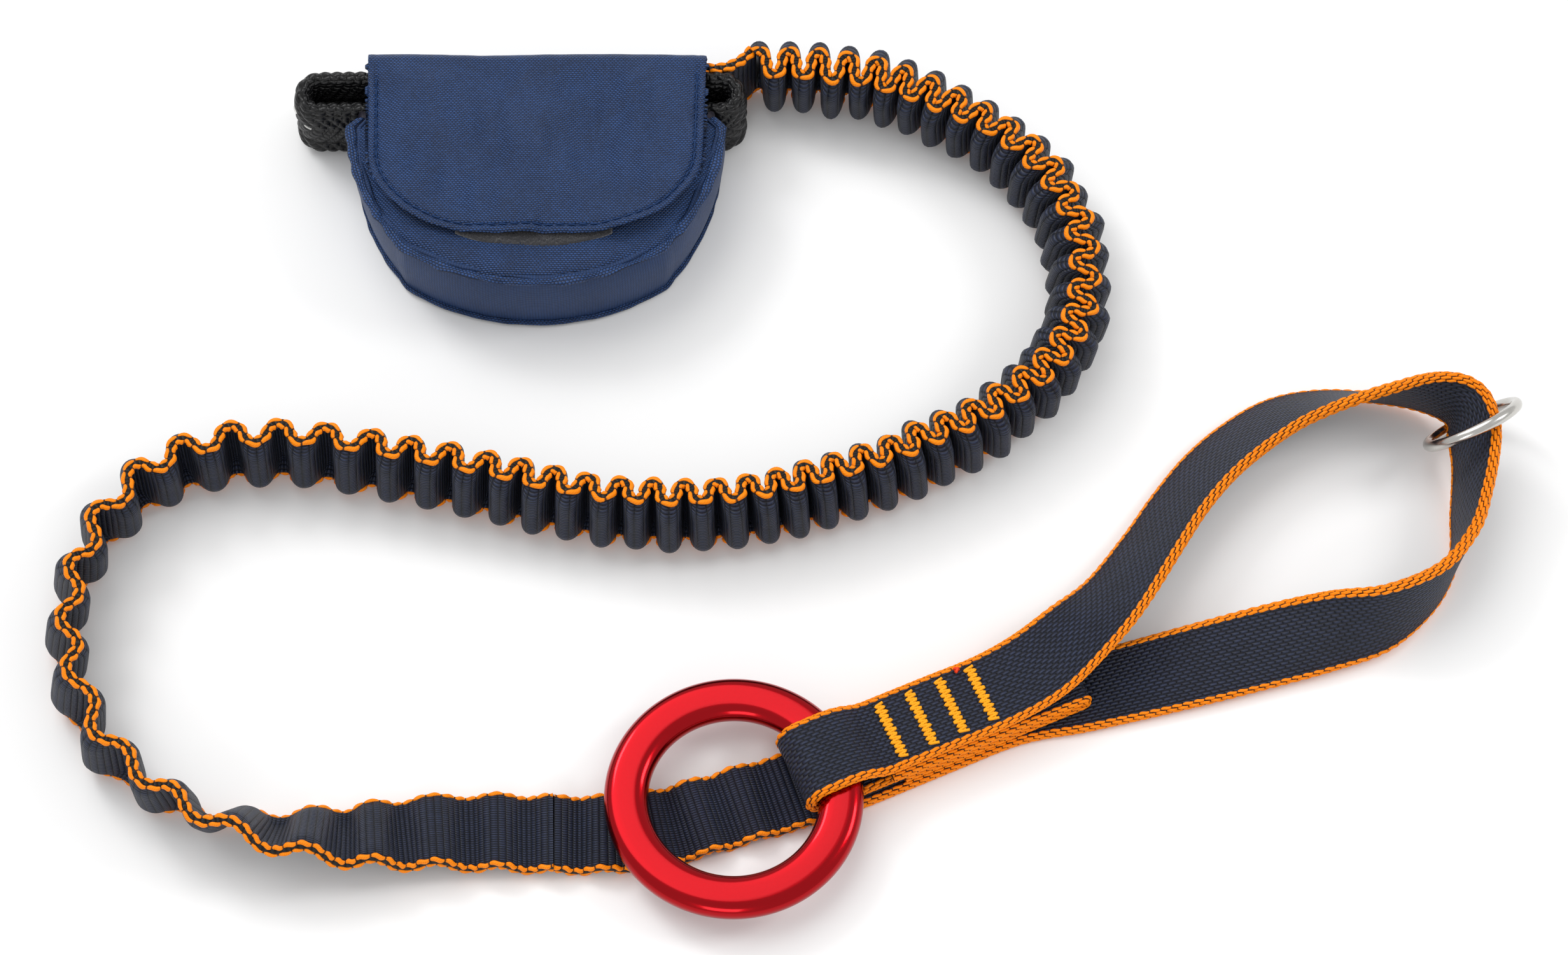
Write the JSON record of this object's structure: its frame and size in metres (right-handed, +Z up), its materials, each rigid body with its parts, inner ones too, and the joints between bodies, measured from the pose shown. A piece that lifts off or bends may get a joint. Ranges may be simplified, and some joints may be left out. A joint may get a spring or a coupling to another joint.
{
  "type": "shock absorbing lanyard",
  "caption": "Stretch webbing lanyard with a tear-out energy absorber in a flap pouch, a red anchor ring sewn into the webbing and a sewn handle loop with a steel tip ring.",
  "frame": {"origin": "middle of the pouch's flat back, on the surface the lanyard lies on", "axes": "+X along the lanyard's length towards the handle loop, +Y towards the pouch's hinged edge, +Z up from the surface"},
  "size_m": [0.4122, 0.2687, 0.0292],
  "materials": {
    "pouch_nylon": "plain woven nylon",
    "pouch_binding": "ribbed binding tape",
    "lining_nylon": "coated lining",
    "loop_tape": "soft loop pile",
    "hook_tape": "stiff hook pile",
    "absorber_webbing": "coarse diagonal weave with white tracer yarns",
    "load_thread": "bonded thread",
    "band_cloth": "plain tape",
    "label_sheet": "printed sheet left blank",
    "lanyard_webbing": "navy webbing with orange selvages",
    "elastic_rubber": "covered rubber strands",
    "bartack_thread": "bonded thread",
    "anchor_ring": "gloss red anodised",
    "tip_ring": "polished steel"
  },
  "bodies": {
    "lanyard": {"back_seam_binding": "pouch_nylon", "base_strap": "lanyard_webbing", "elastic_core": "elastic_rubber", "elastic_webbing": "lanyard_webbing", "folded_tail": "lanyard_webbing", "front_seam_binding": "pouch_nylon", "handle_bartacks": "bartack_thread", "handle_strap": "lanyard_webbing", "harness_loop": "absorber_webbing", "harness_loop_stitching": "load_thread", "inspection_label": "label_sheet", "lanyard_loop": "absorber_webbing", "lanyard_loop_stitching": "load_thread", "left_port_binding": "pouch_binding", "loop_patch": "loop_tape", "pack_band": "band_cloth", "pouch_back_panel": "pouch_nylon", "pouch_front_panel": "pouch_nylon", "pouch_gusset": "pouch_nylon", "pouch_rear_wall": "pouch_nylon", "right_port_binding": "pouch_binding", "tear_webbing": "absorber_webbing", "webbing_end_tab": "lanyard_webbing"},
    "flap": {"flap": "pouch_nylon", "flap_lining": "lining_nylon", "hook_patch": "hook_tape"},
    "ring_wrap": {"ring_wrap": "lanyard_webbing"},
    "anchor_ring": {"anchor_ring": "anchor_ring"},
    "tip_ring": {"tip_ring": "tip_ring"}
  },
  "joints": [
    {"name": "flap_hinge", "type": "hinge", "parent": "lanyard", "child": "flap", "pos_m": [0, 0.0361, 0.014], "axis": [-1, 0, 0], "range_deg": [0, 120]},
    {"name": "ring_swing", "type": "hinge", "parent": "lanyard", "child": "ring_wrap", "pos_m": [0.09322, -0.16985, 0.0076], "axis": [-0.4067, 0.9135, 0], "range_deg": [0, 60]},
    {"name": "anchor_ring_spin", "type": "hinge", "parent": "ring_wrap", "child": "anchor_ring", "pos_m": [0.0565, -0.1862, 0.0097], "axis": [0, 0, 1], "continuous": true},
    {"name": "tip_ring_spin", "type": "hinge", "parent": "lanyard", "child": "tip_ring", "pos_m": [0.26072, -0.07568, 0.0151], "axis": [-0.4378, 0.7467, 0.5008], "continuous": true}
  ]
}
